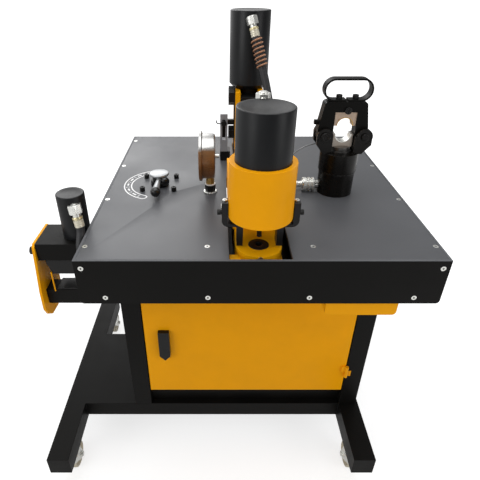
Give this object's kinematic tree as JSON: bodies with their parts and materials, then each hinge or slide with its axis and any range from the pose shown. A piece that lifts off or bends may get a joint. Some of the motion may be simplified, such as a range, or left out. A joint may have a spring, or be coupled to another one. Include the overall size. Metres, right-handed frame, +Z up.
{
  "type": "busbar processing machine",
  "caption": "Table on casters with hydraulic punching, shearing, bending and crimping stations, a selector valve, a pressure gauge and a cabinet with a door.",
  "frame": {"origin": "on the floor under the centre of the whole machine's box, cords left out", "axes": "+X to the operator's right, +Y from the operator towards the back of the table, +Z up"},
  "size_m": [0.926, 0.74, 1.213],
  "materials": {
    "black_paint": "satin",
    "table_paint": "satin",
    "yellow_paint": "satin",
    "motor_paint": "satin",
    "black_steel": "black oxide",
    "bright_steel": "satin",
    "tan_steel": "satin",
    "zinc": "zinc plated",
    "chrome": "polished",
    "nylon": "matte",
    "pointer": "matte",
    "lens": "clear",
    "hose_rubber": "matte",
    "guard_brown": "satin"
  },
  "bodies": {
    "machine": {"base_frame": "black_paint", "upright_frame": "black_paint", "table_top": "table_paint", "front_skirt": "black_paint", "side_skirt": "black_paint", "die_tray": "yellow_paint", "cabinet_shell": "black_paint", "hinge_lower": "yellow_paint", "hinge_upper": "yellow_paint", "oil_tank": "black_paint", "pump_motor": "motor_paint", "pump_block": "bright_steel", "valve_body": "black_steel", "gauge_body": "chrome", "gauge_lens": "lens", "punch_frame": "yellow_paint", "punch_die": "black_steel", "punch_cylinder": "black_paint", "shear_frame": "yellow_paint", "shear_cylinder": "black_paint", "lower_blade": "bright_steel", "hold_down_bracket": "black_steel", "bend_box": "black_paint", "bend_end_plate": "yellow_paint", "bend_beam": "black_paint", "bend_lower_jaw": "black_steel", "bend_cylinder": "black_paint", "crimp_cylinder": "black_paint", "shear_hose": "hose_rubber", "punch_hose": "hose_rubber", "bend_hose": "hose_rubber", "crimp_hose": "hose_rubber", "safety_wire": "bright_steel", "hose_guard": "guard_brown"},
    "front_left_fork": {"front_left_caster_fork": "zinc"},
    "front_left_wheel": {"front_left_caster_wheel": "nylon"},
    "front_left_pedal": {"front_left_caster_brake_pedal": "black_paint"},
    "front_right_fork": {"front_right_caster_fork": "zinc"},
    "front_right_wheel": {"front_right_caster_wheel": "nylon"},
    "front_right_pedal": {"front_right_caster_brake_pedal": "black_paint"},
    "rear_left_fork": {"rear_left_caster_fork": "zinc"},
    "rear_left_wheel": {"rear_left_caster_wheel": "nylon"},
    "rear_right_fork": {"rear_right_caster_fork": "zinc"},
    "rear_right_wheel": {"rear_right_caster_wheel": "nylon"},
    "cabinet_door": {"door": "yellow_paint"},
    "latch": {"door_latch": "black_steel"},
    "valve_handle": {"valve_lever": "chrome"},
    "pointer": {"gauge_pointer": "pointer"},
    "punch": {"punch_ram": "black_steel"},
    "stripper_yoke": {"stripper": "black_steel"},
    "shear": {"shear_ram": "black_steel"},
    "hold_down": {"hold_down_bar": "bright_steel"},
    "clamp_screw": {"hold_down_screw": "black_steel"},
    "bender": {"bend_ram": "black_steel"},
    "crimp_ram": {"crimp_piston": "bright_steel"},
    "yoke": {"crimp_yoke": "black_paint", "crimp_upper_die": "tan_steel", "carrying_handle": "black_paint"},
    "yoke_pin": {"latch_pin": "bright_steel"},
    "collar": {"coupler_collar": "zinc"}
  },
  "joints": [
    {"name": "front_left_swivel", "type": "hinge", "parent": "machine", "child": "front_left_fork", "pos_m": [-0.433, -0.31, 0.093], "axis": [0, 0, 1], "continuous": true},
    {"name": "front_left_roll", "type": "hinge", "parent": "front_left_fork", "child": "front_left_wheel", "pos_m": [-0.433, -0.275, 0.03776], "axis": [1, 0, 0], "continuous": true},
    {"name": "front_left_brake", "type": "hinge", "parent": "front_left_fork", "child": "front_left_pedal", "pos_m": [-0.433, -0.2795, 0.08176], "axis": [-1, 0, 0], "range_deg": [-12, 0]},
    {"name": "front_right_swivel", "type": "hinge", "parent": "machine", "child": "front_right_fork", "pos_m": [0.409, -0.31, 0.093], "axis": [0, 0, 1], "continuous": true},
    {"name": "front_right_roll", "type": "hinge", "parent": "front_right_fork", "child": "front_right_wheel", "pos_m": [0.409, -0.275, 0.03776], "axis": [1, 0, 0], "continuous": true},
    {"name": "front_right_brake", "type": "hinge", "parent": "front_right_fork", "child": "front_right_pedal", "pos_m": [0.409, -0.2795, 0.08176], "axis": [-1, 0, 0], "range_deg": [-12, 0]},
    {"name": "rear_left_swivel", "type": "hinge", "parent": "machine", "child": "rear_left_fork", "pos_m": [-0.433, 0.27, 0.093], "axis": [0, 0, 1], "continuous": true},
    {"name": "rear_left_roll", "type": "hinge", "parent": "rear_left_fork", "child": "rear_left_wheel", "pos_m": [-0.433, 0.305, 0.03776], "axis": [1, 0, 0], "continuous": true},
    {"name": "rear_right_swivel", "type": "hinge", "parent": "machine", "child": "rear_right_fork", "pos_m": [0.409, 0.27, 0.093], "axis": [0, 0, 1], "continuous": true},
    {"name": "rear_right_roll", "type": "hinge", "parent": "rear_right_fork", "child": "rear_right_wheel", "pos_m": [0.409, 0.305, 0.03776], "axis": [1, 0, 0], "continuous": true},
    {"name": "door_hinge", "type": "hinge", "parent": "machine", "child": "cabinet_door", "pos_m": [0.379, -0.1925, 0.305], "axis": [0, 0, 1], "range_deg": [0, 120]},
    {"name": "latch_turn", "type": "hinge", "parent": "cabinet_door", "child": "latch", "pos_m": [-0.142, -0.1865, 0.446], "axis": [0, -1, 0], "range_deg": [0, 90]},
    {"name": "valve_turn", "type": "hinge", "parent": "machine", "child": "valve_handle", "pos_m": [-0.146, -0.016, 0.8343], "axis": [0, 0, -1], "range_deg": [0, 160]},
    {"name": "pointer_turn", "type": "hinge", "parent": "machine", "child": "pointer", "pos_m": [-0.032, -0.06, 0.915], "axis": [1, 0, 0], "range_deg": [0, 270], "stiffness_Nm_per_rad": 0.002, "springref_deg": -17.19},
    {"name": "punch_stroke", "type": "slide", "parent": "machine", "child": "punch", "axis": [0, 0, -1], "range_m": [0, 0.025], "stiffness_N_per_m": 1500, "springref_m": -0.03},
    {"name": "stripper_lift", "type": "slide", "parent": "machine", "child": "stripper_yoke", "axis": [0, 0, 1], "range_m": [0, 0.015]},
    {"name": "shear_stroke", "type": "slide", "parent": "machine", "child": "shear", "axis": [0, 0, -1], "range_m": [0, 0.045], "stiffness_N_per_m": 3000, "springref_m": -0.03},
    {"name": "hold_down_slide", "type": "slide", "parent": "machine", "child": "hold_down", "axis": [0, 0, 1], "range_m": [0, 0.03]},
    {"name": "clamp_screw_turn", "type": "hinge", "parent": "machine", "child": "clamp_screw", "pos_m": [0.023, 0.1417, 0.935], "axis": [0, 1, 0], "range_deg": [0, 180]},
    {"name": "bend_stroke", "type": "slide", "parent": "machine", "child": "bender", "axis": [0, 0, -1], "range_m": [0, 0.028], "stiffness_N_per_m": 1500, "springref_m": -0.03},
    {"name": "crimp_stroke", "type": "slide", "parent": "machine", "child": "crimp_ram", "axis": [0, 0, 1], "range_m": [0, 0.016], "stiffness_N_per_m": 1000, "springref_m": -0.01},
    {"name": "yoke_hinge", "type": "hinge", "parent": "machine", "child": "yoke", "pos_m": [0.349, -0.053, 0.968], "axis": [0, 1, 0], "range_deg": [0, 110]},
    {"name": "pin_pull", "type": "slide", "parent": "machine", "child": "yoke_pin", "axis": [0, -1, 0], "range_m": [0, 0.048]},
    {"name": "collar_slide", "type": "slide", "parent": "machine", "child": "collar", "axis": [1, 0, 0], "range_m": [0, 0.008], "stiffness_N_per_m": 800, "springref_m": -0.005}
  ]
}
